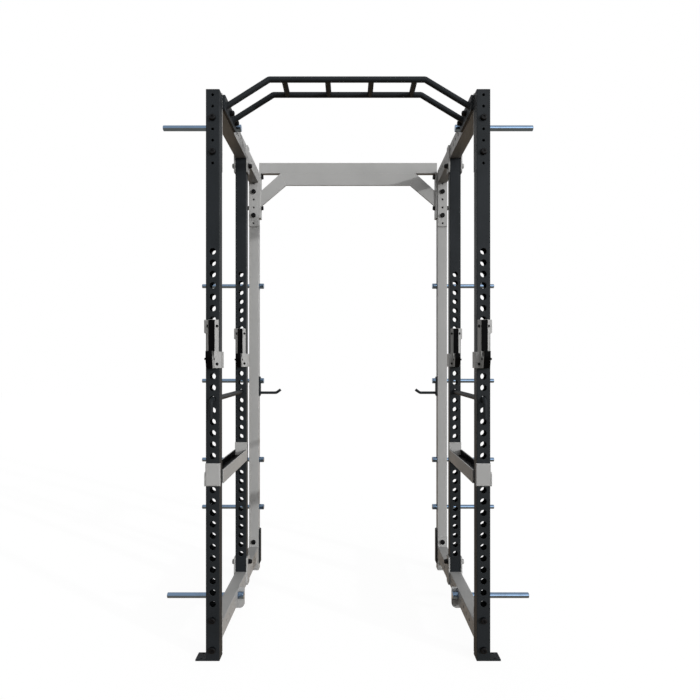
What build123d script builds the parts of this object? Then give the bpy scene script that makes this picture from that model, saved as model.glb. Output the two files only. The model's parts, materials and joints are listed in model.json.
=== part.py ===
"""Power cage: six posts, side beams, a rear crossmember, a multi-grip pull-up bar and its attachments.

Millimetres. +Z is up, the cage opens towards -Y and +X is to the right of someone facing it.
The origin is on the floor, at the middle of everything that the cage reaches.
Left-hand pieces are built and mirrored to make the right-hand ones.
"""

from build123d import *
import math
import os

# Cage
cage_width = 1250.0  # over the outer faces of the posts
cage_depth = 1225.0  # front face of the front posts to rear face of the rear posts
cage_height = 2512.0  # floor to the top of the post caps
middle_setback = 700.0  # front face of the front posts to front face of the middle posts
plate_edge = 1.0  # rounding of the sharp edges of flat plates
cut_margin = 1.0  # how far a cutter runs past what it cuts

# Posts
post_size = 60.0
post_wall = 3.0
post_corner = 2.5
cap_thickness = 2.0
cap_plug = 14.0
cap_clearance = 0.3

# Rows of holes in the posts
pin_hole_d = 28.0
pin_hole_pitch = 50.0
pin_hole_first = 250.0
pin_hole_count = 32
top_hole_d = 12.5
top_hole_pitch = 50.0
top_hole_margin = 25.0  # from the top of the cage to the first small hole
top_hole_steps = range(7)
top_bolt_steps = (2, 5)  # the small holes that carry a bolt

# Feet
foot_thickness = 8.0
foot_overhang = 46.0
foot_depth = 65.0
anchor_hole_d = 11.0
anchor_edge = 10.0  # from the ends of the foot to the holes
anchor_outset = 21.0  # from the post to the holes

# Side beams, which are as wide as the posts
beam_height = 76.0
beam_wall = 3.0
top_beam_rise = 9.0  # its upper face above the tops of the posts
bottom_beam_z = 111.5
flange_thickness = 8.0
top_flange_drop = 345.0  # below the tops of the posts
bottom_flange_height = 200.0
bottom_bolt_mid = 114.5
bottom_bolt_spacing = 130.0
beam_hole_d = 17.0
beam_hole_pitch = 71.5
beam_hole_first = 166.0
beam_hole_count = 13

# Gussets between the side beams and the middle posts
gusset_thickness = 8.0
gusset_width = 70.0
gusset_inset = 1.5  # short of the far face of the beam
gusset_reach = 80.0  # along the post
gusset_corner = 15.0
top_gusset_bolt_drop = 36.0  # below the top beam
bottom_gusset_bolt_rise = 48.0  # above the bottom beam

# Frame bolts
bolt_d = 16.0
bolt_hole_clearance = 1.0
bolt_head_across = 24.0
bolt_head_height = 10.0
bolt_head_chamfer = 1.5
round_head_d = 28.0
round_head_height = 14.0
round_head_round = 5.0
socket_across = 10.0
socket_depth = 4.0
nut_height = 17.0  # with its dome
nut_hex_height = 10.0
nut_dome_round = 6.5
nut_bore_depth = 13.0
nut_clearance = 0.2
washer_d = 30.0
washer_thickness = 3.0

# Rear crossmember
cross_height = 66.5
cross_depth = 40.0
cross_wall = 3.0
cross_corner = 1.0
cross_drop = 5.0  # its underside below the tops of the posts
cross_end_gap = 2.0
cross_flange_thickness = 12.0
cross_flange_height = 283.5
cross_bolt_top = 16.0
cross_bolt_bottom = 71.0
cross_bolt_back = 10.0  # behind the middle of the post, clear of the struts
panel_depth = 14.0
panel_drop = 75.5
panel_half_width = 393.0  # along its lower edge
strut_beam_x = 427.0  # where the upper edge of a strut meets the crossmember
strut_upper_drop = 113.5  # crossmember down to the upper edge of a strut, at the flange
strut_lower_drop = 211.5

# Pull-up bar
bar_d = 27.0
bar_wall = 3.0
bar_rise = 121.5  # above the middle of its flanges
bar_setback = 105.0  # front face of the front posts to the front bar
bar_spacing = 159.0
bar_straight_left = 361.0  # middle of the cage to the left bend
bar_straight_right = 352.0
bar_bend_radius = 18.0
grip_d = 26.0
grip_first = -292.0  # the left grip, from the middle of the cage
grip_pitch = 199.0
grip_count = 4
bar_flange_thickness = 12.0
bar_flange_height = 72.0
bar_flange_drop = 4.0  # below the upper face of the beam
bar_flange_margin = 45.0  # past the front bar
bar_flange_tail = 33.0  # past the last bolt
bar_flange_corner = 10.0
bar_bolt_behind = 38.0  # from the rear bar to the last bolt

# Pegs
peg_d = 26.0
peg_head_d = 34.0
beam_peg_d = 28.5
beam_peg_head_d = 36.0
peg_outer_reach = 302.0  # past the outer face of the posts
peg_inner_reach = 30.0  # past the inner face of the posts
hook_peg_height = 1194.0  # the peg that also holds the accessory hook
peg_heights = (392.5, 693.0, hook_peg_height, 1795.5)
top_peg_setback = 380.5
top_peg_rise = 3.0  # above the middle of the beam
bottom_peg_setback = 452.0
bottom_peg_rise = 4.0  # above the middle of the beam
peg_neck_step = 1.5  # how far a peg stands out round the part that passes through the tube
peg_clearance = 0.25
peg_chamfer = 2.0
bracket_thickness = 8.0
bracket_reach = 30.0
bracket_drop = 31.0  # below the bottom beam
bracket_rise = 0.5  # above the bottom beam
bracket_corner = 26.0
bracket_gap = 0.5  # behind the head of the peg

# Accessory hooks and guard plates on the rear posts
hook_plate_height = 124.0
hook_plate_width = 50.0
hook_plate_thickness = 8.0
hook_plate_taper = 8.0
hook_plate_top = 27.0  # above the peg that holds it
hook_rod_d = 17.0
hook_rod_rise = 21.0  # above the lower end of the plate
hook_rod_reach = 101.0
hook_tip_reach = 27.0
hook_tip_rise = 20.0
hook_bend_radius = 25.0
guard_height = 214.0
guard_width = 50.0
guard_thickness = 9.0
guard_bottom = 40.0
guard_bevel = 6.0

# Running gaps between the frame and the attachments
seat_gap = 0.3  # between a pin and the hole that it rests in
face_gap = 0.3  # in front of a post
side_gap = 0.75  # beside a post

# J-hooks, measured from the axis of their pin and forward from the post
jhook_hole = 23  # step in the row of pin holes
jhook_pin_d = 25.0
jhook_pin_tail = 6.0  # past the back of the post
jhook_sheet = 4.5
jhook_top = 100.0
jhook_bottom = 112.0
jhook_web_half = 14.0
jhook_web_front = 18.0
jhook_flare_half = 27.5  # where the flared sides meet the post
jhook_tab_gap = 2.5  # beside the post
jhook_tab_depth = 58.0
jhook_top_tab = 60.0
jhook_bottom_tab = 72.0
jhook_tab_bend = 4.0
jhook_tab_chamfer = 6.0
jhook_seat = 66.5  # the seat below the pin
jhook_lip = 38.0  # the top of the lip below the pin
jhook_slot = 40.0  # width of the seat
jhook_cheek_relief = 2.0  # the steel stands back from the liner
jhook_cheek_front = 70.0
jhook_cheek_top = 37.0  # the top of the cheeks below the pin
jhook_toe_height = 48.0  # the height over which the front slants back
jhook_toe_setback = 13.0
jhook_reach = 78.0
jhook_pad = 5.0
jhook_pad_half = 13.5
jhook_pad_margin = 1.0
jhook_lip_half = 14.0
jhook_lip_round = 3.0
jhook_liner_floor = 100.0  # the underside of the liner below the pin
jhook_liner_gap = 0.2
jhook_cross_screw_d = 6.0
jhook_cross_screw_drop = 72.0
jhook_cross_screw_forward = 36.0
jhook_cross_screw_tail = 13.0  # past the outer cheek, with its nut at the end
jhook_cross_nut = 5.0
jhook_screw_d = 5.0
jhook_screw_length = 9.0
jhook_cross_head_d = 10.0
jhook_screw_head_d = 13.0
jhook_screw_head = 3.0
jhook_screw_levels = (72.0, -94.0)
screw_clearance = 0.2

# Safety arms, measured from the axis of their pins
arm_hole = 12  # step in the row of pin holes
arm_pin_d = 25.0
arm_pin_tail = 6.0
arm_sheet = 4.5
arm_floor = 80.0  # the underside below the pins
arm_rim = 20.0  # the top of the walls below the pins
arm_plate_top = 20.0
arm_plate = 8.0
arm_plate_round = 4.5
arm_end_gap = 2.0
arm_wall_chamfer = 8.0
arm_liner_floor = 26.0
arm_liner_wall = 3.0
arm_liner_gap = 0.2

# Safety rods
rod_hole = 18  # step in the row of pin holes
rod_d = 24.0
rod_tail = 10.0  # past the back of the middle post
rod_nose = 6.0  # past the front of the front post
rod_chamfer = 2.0
rod_handle_d = 18.0
rod_handle_forward = 30.0
rod_handle_drop = 83.0
rod_handle_bend = 20.0

# Places worked out from the sizes above
outer_x = cage_width / 2
inner_x = outer_x - post_size
post_x = outer_x - post_size / 2
bolt_stack = washer_thickness + nut_height
front_y = (jhook_reach - cage_depth - bolt_stack) / 2
rear_post_y = front_y + cage_depth - post_size
rear_mid_y = rear_post_y + post_size / 2
cross_bolt_y = rear_mid_y + cross_bolt_back
middle_post_y = front_y + middle_setback
middle_mid_y = middle_post_y + post_size / 2
post_top = cage_height - cap_thickness
top_beam_top = cage_height + top_beam_rise
top_beam_z = top_beam_top - beam_height / 2
top_beam_under = top_beam_top - beam_height
bottom_beam_top = bottom_beam_z + beam_height / 2
bottom_beam_under = bottom_beam_z - beam_height / 2
beam_start = front_y + post_size
beam_end = rear_post_y
cross_z = cage_height - cross_drop
top_hole_levels = [cage_height - top_hole_margin - step * top_hole_pitch for step in top_hole_steps]
top_bolt_levels = [top_hole_levels[step] for step in top_bolt_steps]
plain_hole_levels = [z for step, z in enumerate(top_hole_levels) if step not in top_bolt_steps]
bottom_bolt_levels = [bottom_bolt_mid + side * bottom_bolt_spacing / 2 for side in (-1, 1)]
front_bar_y = front_y + bar_setback
rear_bar_y = front_bar_y + bar_spacing
bar_bolt_ys = [(front_bar_y + rear_bar_y) / 2, rear_bar_y + bar_bolt_behind]
bar_flange_top = top_beam_top - bar_flange_drop
bar_flange_z = bar_flange_top - bar_flange_height / 2
bar_z = bar_flange_z + bar_rise
bar_flange_x = inner_x - bar_flange_thickness
bar_flange_span = (front_bar_y - bar_flange_margin, bar_bolt_ys[-1] + bar_flange_tail)
gusset_span = (middle_mid_y - gusset_width / 2, middle_mid_y + gusset_width / 2)
cross_bolt_levels = [cross_z - cross_flange_height + cross_bolt_bottom, cross_z - cross_bolt_top]
top_gusset_bolt_z = top_beam_under - top_gusset_bolt_drop
bottom_gusset_bolt_z = bottom_beam_top + bottom_gusset_bolt_rise
top_peg_y = front_y + top_peg_setback
top_peg_z = top_beam_z + top_peg_rise
bottom_peg_y = front_y + bottom_peg_setback
bottom_peg_z = bottom_beam_z + bottom_peg_rise


def block(x0, x1, y0, y1, z0, z1):
    """A box between two corners."""
    centre = Pos((x0 + x1) / 2, (y0 + y1) / 2, (z0 + z1) / 2)
    return centre * Box(abs(x1 - x0), abs(y1 - y0), abs(z1 - z0))


def rod_x(radius, x0, x1, y, z):
    """A round bar along X."""
    return Pos((x0 + x1) / 2, y, z) * Rot(0, 90, 0) * Cylinder(radius, abs(x1 - x0))


def rod_y(radius, y0, y1, x, z):
    """A round bar along Y."""
    return Pos(x, (y0 + y1) / 2, z) * Rot(90, 0, 0) * Cylinder(radius, abs(y1 - y0))


def rod_z(radius, z0, z1, x, y):
    """An upright round bar."""
    return Pos(x, y, (z0 + z1) / 2) * Cylinder(radius, abs(z1 - z0))


def square_tube(width, depth, wall, corner, length):
    """A hollow section along Z, centred on its axis, with rounded corners."""
    inside_corner = max(corner - wall, wall / 4)
    outside = RectangleRounded(width, depth, corner)
    inside = RectangleRounded(width - 2 * wall, depth - 2 * wall, inside_corner)
    return extrude(outside - inside, length)


def side_plate(points, x0, x1):
    """A plate cut to a side-view outline of (y, z) points, between two X planes."""
    outline = make_face(Polyline(*points, close=True))
    return Pos(x0, 0, 0) * extrude(Plane.YZ * outline, x1 - x0)


def front_plate(points, y0, y1):
    """A plate cut to a front-view outline of (x, z) points, between two Y planes."""
    outline = make_face(Polyline(*points, close=True))
    return Pos(0, y1, 0) * extrude(Plane.XZ * outline, y1 - y0)


def rounded_plate(x0, x1, y0, y1, z0, z1, corner):
    """A flat plate facing X with its four corners rounded and its rims eased."""
    outline = RectangleRounded(y1 - y0, z1 - z0, corner)
    plate = extrude(Plane.YZ * outline, x1 - x0)
    plate = fillet(plate.faces().filter_by(Plane.YZ).edges(), plate_edge)
    return Pos(x0, (y0 + y1) / 2, (z0 + z1) / 2) * plate


def ribbon(path, thickness):
    """The outline of a bent sheet, seen on edge, with mitred bends along a path of points."""
    spots = [Vector(*point) for point in path]
    runs = [(after - before).normalized() for before, after in zip(spots, spots[1:])]
    sides = [Vector(-run.Y, run.X) for run in runs]
    offsets = [sides[0]]
    for before, after in zip(sides, sides[1:]):
        offsets.append((before + after) / (1 + before.dot(after)))
    offsets.append(sides[-1])
    left = [spot + offset * (thickness / 2) for spot, offset in zip(spots, offsets)]
    right = [spot - offset * (thickness / 2) for spot, offset in zip(spots, offsets)]
    return make_face(Polyline(*left, *reversed(right), close=True))


def mirrored(part):
    """The right-hand twin of a left-hand piece."""
    return mirror(part, about=Plane.YZ)


def both_sides(parts):
    """Left-hand pieces together with their right-hand twins."""
    return [*parts, *[mirrored(part) for part in parts]]


def hexagon(across, height):
    """A hexagonal prism with its outer corners turned off at the top."""
    prism = extrude(RegularPolygon(across / 2, 6, major_radius=False), height)
    corner_radius = across / math.sqrt(3)
    turned = chamfer(Cylinder(corner_radius, 2 * height).edges().sort_by(Axis.Z)[-1], bolt_head_chamfer)
    return prism & turned


def round_head():
    """A low round bolt head with a hexagon socket."""
    head = extrude(Circle(round_head_d / 2), round_head_height)
    head = fillet(head.edges().sort_by(Axis.Z)[-1], round_head_round)
    socket = extrude(RegularPolygon(socket_across / 2, 6, major_radius=False), socket_depth)
    return head - Pos(0, 0, round_head_height - socket_depth) * socket


def domed_nut():
    """A closed nut: a hexagon with a dome over the end of the bolt."""
    dome = extrude(Circle(bolt_head_across / 2), nut_height)
    dome = fillet(dome.edges().sort_by(Axis.Z)[-1], nut_dome_round)
    bore = extrude(Circle(bolt_d / 2 + nut_clearance), nut_bore_depth)
    return hexagon(bolt_head_across, nut_hex_height) + dome - bore


def bolt_set(grip, low_head):
    """A bolt along +Z that clamps a stack of the given thickness, with its nut and washers."""
    ring = extrude(Circle(washer_d / 2) - Circle(bolt_d / 2 + nut_clearance), washer_thickness)
    washers = [Pos(0, 0, grip) * ring]
    seat = 0 if low_head else washer_thickness
    head = round_head() if low_head else hexagon(bolt_head_across, bolt_head_height)
    if not low_head:
        washers.append(Pos(0, 0, -washer_thickness) * ring)
    shank_length = seat + grip + washer_thickness + nut_bore_depth - nut_clearance
    shank = extrude(Circle(bolt_d / 2), shank_length)
    bolt = Pos(0, 0, -seat) * (mirror(head, about=Plane.XY) + shank)
    nut = Pos(0, 0, grip + washer_thickness) * domed_nut()
    return bolt, nut, washers


def drill_y(part, diameter, levels, x, y0, y1):
    """Drills a row of holes along Y at the given heights."""
    return part - [rod_y(diameter / 2, y0 - cut_margin, y1 + cut_margin, x, z) for z in levels]


def post(y, z0, z1):
    """A left-hand post whose front face is at y."""
    tube = square_tube(post_size, post_size, post_wall, post_corner, z1 - z0)
    return Pos(-post_x, y + post_size / 2, z0) * tube


def bore_x(radius, y, z):
    """A cutter along X, right through a left-hand post or beam and the plates beside it."""
    return rod_x(radius, -outer_x - post_size, -inner_x + post_size, y, z)


def drill_bolts_x(part, y, levels):
    """Clearance holes for bolts that pass a left-hand piece along X."""
    radius = (bolt_d + bolt_hole_clearance) / 2
    return part - [bore_x(radius, y, z) for z in levels]


def pin_hole_level(step):
    """The height of one of the pin holes, counted up from the lowest."""
    return pin_hole_first + step * pin_hole_pitch


def pin_hole_levels():
    """The heights of all the pin holes of a post."""
    return [pin_hole_level(step) for step in range(pin_hole_count)]


def front_post():
    """A front post with its rows of pin holes, small holes and bolt holes."""
    part = post(front_y, foot_thickness, post_top)
    ends = (-post_x, front_y, front_y + post_size)
    part = drill_y(part, pin_hole_d, pin_hole_levels(), *ends)
    part = drill_y(part, top_hole_d, plain_hole_levels, *ends)
    return drill_y(part, bolt_d + bolt_hole_clearance, top_bolt_levels + bottom_bolt_levels, *ends)


def middle_post():
    """A middle post, which stands between the two side beams."""
    part = post(middle_post_y, bottom_beam_top, top_beam_under)
    part = drill_y(part, pin_hole_d, pin_hole_levels(), -post_x, middle_post_y, middle_post_y + post_size)
    return drill_bolts_x(part, middle_mid_y, [bottom_gusset_bolt_z, top_gusset_bolt_z])


def neck_radius(diameter):
    """The radius of the part of a peg that passes through a tube."""
    return diameter / 2 - peg_neck_step


def rear_post():
    """A rear post, drilled for the beams, the crossmember and the storage pegs."""
    part = post(rear_post_y, foot_thickness, post_top)
    ends = (-post_x, rear_post_y, rear_post_y + post_size)
    part = drill_y(part, bolt_d + bolt_hole_clearance, top_bolt_levels + bottom_bolt_levels, *ends)
    part = drill_y(part, top_hole_d, plain_hole_levels, -post_x, rear_post_y, rear_post_y + post_wall)
    part = drill_bolts_x(part, cross_bolt_y, cross_bolt_levels)
    radius = neck_radius(peg_d) + peg_clearance
    return part - [bore_x(radius, rear_mid_y, z) for z in peg_heights]


def foot(y):
    """A left-hand floor plate with two anchor holes outside the post."""
    plate = block(-outer_x - foot_overhang, -inner_x, y, y + foot_depth, 0, foot_thickness)
    plate = fillet(plate.faces().sort_by(Axis.Z)[-1].edges(), plate_edge)
    ends = (-cut_margin, foot_thickness + cut_margin)
    for hole_y in (y + anchor_edge, y + foot_depth - anchor_edge):
        plate -= rod_z(anchor_hole_d / 2, *ends, -outer_x - anchor_outset, hole_y)
    return plate


def post_cap(y):
    """The plug that closes the top of a left-hand post."""
    cover = extrude(RectangleRounded(post_size, post_size, post_corner), cap_thickness)
    plug_size = post_size - 2 * post_wall - 2 * cap_clearance
    plug = extrude(RectangleRounded(plug_size, plug_size, post_wall / 2), -cap_plug)
    return Pos(-post_x, y + post_size / 2, post_top) * (cover + plug)


def beam_tube(z, covered):
    """A left-hand side beam between its end flanges, with a row of holes outside the covered spans of Y."""
    length = beam_end - beam_start - 2 * flange_thickness
    tube = Rot(-90, 0, 0) * square_tube(post_size, beam_height, beam_wall, post_corner, length)
    part = Pos(-post_x, beam_start + flange_thickness, z) * tube
    for step in range(beam_hole_count):
        y = front_y + beam_hole_first + step * beam_hole_pitch
        margin = beam_hole_d / 2
        if not any(start - margin < y < end + margin for start, end in covered):
            part -= bore_x(beam_hole_d / 2, y, z)
    return part


def peg_span(y):
    """The part of a beam that a peg takes up."""
    return y - beam_peg_head_d / 2, y + beam_peg_head_d / 2


def top_beam():
    """A left-hand top beam, drilled for the pull-up bar and its peg."""
    part = beam_tube(top_beam_z, [gusset_span, bar_flange_span, peg_span(top_peg_y)])
    radius = (bolt_d + bolt_hole_clearance) / 2
    part -= [bore_x(radius, y, bar_flange_z) for y in bar_bolt_ys]
    radius = neck_radius(beam_peg_d) + peg_clearance
    return part - bore_x(radius, top_peg_y, top_peg_z)


def bottom_beam():
    """A left-hand bottom beam, drilled for its peg."""
    part = beam_tube(bottom_beam_z, [gusset_span, peg_span(bottom_peg_y)])
    radius = neck_radius(beam_peg_d) + peg_clearance
    return part - bore_x(radius, bottom_peg_y, bottom_peg_z)


def end_flange(y, z0, z1, bolt_levels, hole_levels):
    """A left-hand plate that joins the end of a side beam to a post."""
    plate = block(-outer_x, -inner_x, y, y + flange_thickness, z0, z1)
    plate = fillet(plate.edges(), plate_edge)
    ends = (-post_x, y, y + flange_thickness)
    plate = drill_y(plate, bolt_d + bolt_hole_clearance, bolt_levels, *ends)
    return drill_y(plate, top_hole_d, hole_levels, *ends) if hole_levels else plate


def end_flanges(z0, z1, bolt_levels, hole_levels):
    """The flanges at both ends of both side beams of one level."""
    ends = (beam_start, beam_end - flange_thickness)
    return both_sides([end_flange(y, z0, z1, bolt_levels, hole_levels) for y in ends])


def gussets(z0, z1, bolt_z):
    """The plates that hold both middle posts to the side beams of one level."""
    pair = []
    for x0 in (-outer_x - gusset_thickness, -inner_x):
        plate = rounded_plate(x0, x0 + gusset_thickness, *gusset_span, z0, z1, gusset_corner)
        pair.append(drill_bolts_x(plate, middle_mid_y, [bolt_z]))
    return both_sides(pair)


def crossmember_beam():
    """The rear top tube between the posts."""
    length = 2 * (inner_x - cross_end_gap)
    tube = Rot(0, 90, 0) * square_tube(cross_height, cross_depth, cross_wall, cross_corner, length)
    return Pos(-length / 2, rear_mid_y, cross_z + cross_height / 2) * tube


def flat_panel(points):
    """A panel in front view, flush with the front of the crossmember."""
    front = rear_mid_y - cross_depth / 2
    return front_plate(points, front, front + panel_depth)


def sign_panel():
    """The blank panel under the middle of the crossmember."""
    low = cross_z - panel_drop
    top = (strut_beam_x, cross_z)
    bottom = (panel_half_width, low)
    return flat_panel([(-top[0], top[1]), top, bottom, (-bottom[0], bottom[1])])


def crossmember_strut():
    """A left-hand brace from the crossmember down to its flange."""
    flange_x = inner_x - cross_flange_thickness
    corners = [
        (-flange_x, cross_z - strut_upper_drop),
        (-strut_beam_x, cross_z),
        (-panel_half_width, cross_z - panel_drop),
        (-flange_x, cross_z - strut_lower_drop),
    ]
    return flat_panel(corners)


def crossmember_flange():
    """A left-hand plate that bolts the crossmember to its post."""
    low = cross_z - cross_flange_height
    inside = -inner_x + cross_flange_thickness
    plate = block(-inner_x, inside, rear_post_y, rear_post_y + post_size, low, cross_z)
    plate = fillet(plate.edges().filter_by(Axis.X, reverse=True), plate_edge)
    return drill_bolts_x(plate, cross_bolt_y, cross_bolt_levels)


def pullup_path():
    """The line of a pull-up bar, run on a little past the flanges that its ends are cut by."""
    left_slope = bar_rise / (bar_flange_x - bar_straight_left)
    right_slope = bar_rise / (bar_flange_x - bar_straight_right)
    end_x = bar_flange_x + bar_d
    corners = [
        (-end_x, bar_flange_z - left_slope * bar_d),
        (-bar_straight_left, bar_z),
        (bar_straight_right, bar_z),
        (end_x, bar_flange_z - right_slope * bar_d),
    ]
    return FilletPolyline(*[(x, 0, z) for x, z in corners], radius=bar_bend_radius)


def bar_solid(radius):
    """A solid bar along the pull-up path, cut off at the flanges."""
    path = pullup_path()
    section = Plane(origin=path @ 0, z_dir=path % 0) * Circle(radius)
    swept = sweep(section, path=path)
    return swept & Box(2 * bar_flange_x, 4 * bar_d, 4 * cage_height)


def pullup_bar(y):
    """One of the two long bars, which is a tube."""
    return Pos(0, y, 0) * (bar_solid(bar_d / 2) - bar_solid(bar_d / 2 - bar_wall))


def pullup_grips():
    """The short neutral grips between the two long bars, shaped to fit round them."""
    bars = (front_bar_y, rear_bar_y)
    saddles = [rod_x(bar_d / 2, -bar_straight_left, bar_straight_right, y, bar_z) for y in bars]
    spots = [grip_first + step * grip_pitch for step in range(grip_count)]
    grips = [rod_y(grip_d / 2, front_bar_y, rear_bar_y, x, bar_z) for x in spots]
    return [grip - saddles for grip in grips]


def pullup_flange():
    """A left-hand plate that bolts the pull-up bars to a top beam."""
    levels = (bar_flange_top - bar_flange_height, bar_flange_top)
    plate = rounded_plate(-inner_x, -bar_flange_x, *bar_flange_span, *levels, bar_flange_corner)
    radius = (bolt_d + bolt_hole_clearance) / 2
    return plate - [bore_x(radius, y, bar_flange_z) for y in bar_bolt_ys]


def peg(diameter, head_diameter, y, z, seat_x):
    """A left-hand peg: a shoulder outside the tube, a neck through it, and a head on the inner side."""
    outer_end = -outer_x - peg_outer_reach
    inner_end = -inner_x + peg_inner_reach
    shaft = rod_x(diameter / 2, outer_end, -outer_x, y, z)
    shaft = chamfer(shaft.edges().filter_by(GeomType.CIRCLE).sort_by(Axis.X)[0], peg_chamfer)
    neck = rod_x(neck_radius(diameter), -outer_x, seat_x, y, z)
    head = rod_x(head_diameter / 2, seat_x, inner_end, y, z)
    head = chamfer(head.edges().filter_by(GeomType.CIRCLE).sort_by(Axis.X)[-1], peg_chamfer)
    return shaft + neck + head


def storage_pegs():
    """The left-hand pegs through the rear post."""
    pegs = []
    for z in peg_heights:
        seat_x = -inner_x + (hook_plate_thickness if z == hook_peg_height else 0)
        pegs.append(peg(peg_d, peg_head_d, rear_mid_y, z, seat_x))
    return pegs


def beam_pegs():
    """The pegs through the top and bottom beams, on both sides."""
    sizes = (beam_peg_d, beam_peg_head_d)
    upper = peg(*sizes, top_peg_y, top_peg_z, -inner_x)
    lower = peg(*sizes, bottom_peg_y, bottom_peg_z, -inner_x)
    return both_sides([upper, lower])


def peg_bracket():
    """A left-hand rib behind the head of the lower peg, welded round the inner corner of the bottom beam."""
    low = bottom_beam_under - bracket_drop
    y0 = bottom_peg_y + beam_peg_head_d / 2 + bracket_gap
    inside = -inner_x + bracket_reach
    y1 = y0 + bracket_thickness
    plate = block(-outer_x, inside, y0, y1, low, bottom_beam_top + bracket_rise)
    plate -= block(-outer_x, -inner_x, y0, y1, bottom_beam_under, bottom_beam_top + bracket_rise)
    corner = plate.edges().filter_by(Axis.Y).group_by(Axis.Z)[0].sort_by(Axis.X)[-1]
    return fillet(corner, bracket_corner)


def accessory_hook():
    """A left-hand plate under the head of a peg, with a rod that turns up at its end."""
    top = hook_peg_height + hook_plate_top
    low = top - hook_plate_height
    inside = -inner_x + hook_plate_thickness
    y0 = rear_mid_y - hook_plate_width / 2
    y1 = rear_mid_y + hook_plate_width / 2
    tip_x = inside - hook_plate_thickness / 2
    outline = [
        (-inner_x, low),
        (tip_x, low),
        (inside, low + hook_plate_taper),
        (inside, top - hook_plate_taper),
        (tip_x, top),
        (-inner_x, top),
    ]
    plate = front_plate(outline, y0, y1)
    plate -= bore_x(neck_radius(peg_d) + peg_clearance, rear_mid_y, hook_peg_height)
    rod_level = low + hook_rod_rise
    bend_x = inside + hook_rod_reach
    corners = [
        (inside - hook_plate_thickness / 2, rear_mid_y, rod_level),
        (bend_x, rear_mid_y, rod_level),
        (bend_x + hook_tip_reach, rear_mid_y, rod_level + hook_tip_rise),
    ]
    path = FilletPolyline(*corners, radius=hook_bend_radius)
    section = Plane(origin=path @ 0, z_dir=path % 0) * Circle(hook_rod_d / 2)
    return plate + sweep(section, path=path)


def guard_plate():
    """A left-hand black plate low on the inner face of the rear post, bevelled above and rounded below."""
    y0 = rear_mid_y - guard_width / 2
    y1 = rear_mid_y + guard_width / 2
    inside = -inner_x + guard_thickness
    plate = block(-inner_x, inside, y0, y1, guard_bottom, guard_bottom + guard_height)
    plate = chamfer(plate.faces().sort_by(Axis.X)[-1].edges().sort_by(Axis.Z)[-1], guard_bevel)
    return fillet(plate.faces().sort_by(Axis.X)[-1].edges().sort_by(Axis.Z)[0], guard_bevel)


def resting_drop(pin_d):
    """How far a pin that rests in a pin hole lies below the middle of the hole."""
    return (pin_hole_d - pin_d) / 2 - seat_gap


def flare_line():
    """The outer corners of the flared side of a J-hook: beside the post, then beside the web."""
    return Vector(jhook_flare_half, face_gap), Vector(jhook_web_half, jhook_web_front)


def flare_frame(side, level):
    """A plane on the flared side of a J-hook: its origin in the middle, its normal outwards."""
    foot_end, web_end = flare_line()
    middle = (foot_end + web_end) / 2
    run = (web_end - foot_end).normalized()
    normal = (side * run.Y, run.X, 0)
    return Plane(origin=(side * middle.X, -middle.Y, level), z_dir=normal)


def jhook_tab(side, z0, z1):
    """A tab of a J-hook, bent round one side of the post."""
    half = jhook_sheet / 2
    foot_end, web_end = flare_line()
    tab_x = post_size / 2 + jhook_tab_gap + half
    on_flare = (foot_end + web_end) / 2
    path = [(tab_x, jhook_tab_depth), (tab_x, -half), (on_flare.X - half, -on_flare.Y + half)]
    bent = extrude(ribbon([(side * x, y) for x, y in path], jhook_sheet), z1 - z0)
    upright = bent.edges().filter_by(Axis.Z)
    bend = upright.sort_by(lambda edge: side * edge.center().X - edge.center().Y)[-1]
    return Pos(0, 0, z0) * fillet(bend, jhook_tab_bend)


def seat_slot(radius, half_length):
    """The round-bottomed slot that a bar drops into, along X."""
    middle_y = -(jhook_web_front + jhook_pad + jhook_slot / 2)
    middle_z = -jhook_seat + jhook_slot / 2
    round_part = rod_x(radius, -half_length, half_length, middle_y, middle_z)
    walls = (middle_y - radius, middle_y + radius)
    open_top = middle_z + jhook_top + jhook_bottom
    return round_part + block(-half_length, half_length, *walls, middle_z, open_top)


def jhook_screws():
    """The screws of a J-hook: one across the cheeks, and two on each flared side."""
    reach = jhook_web_half
    tail = -reach - jhook_cross_screw_tail
    cross = (-jhook_cross_screw_forward, -jhook_cross_screw_drop)
    across = rod_x(jhook_cross_screw_d / 2, tail, reach, *cross)
    across += rod_x(jhook_cross_head_d / 2, reach, reach + jhook_screw_head, *cross)
    across += rod_x(jhook_cross_head_d / 2, tail, tail + jhook_cross_nut, *cross)
    screws = [across]
    for level in jhook_screw_levels:
        for side in (-1, 1):
            head = extrude(Circle(jhook_screw_head_d / 2), jhook_screw_head)
            head = chamfer(head.edges().sort_by(Axis.Z)[-1], jhook_screw_head / 3)
            shank = extrude(Circle(jhook_screw_d / 2), -jhook_screw_length)
            screws.append(flare_frame(side, level) * (head + shank))
    return screws


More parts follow.
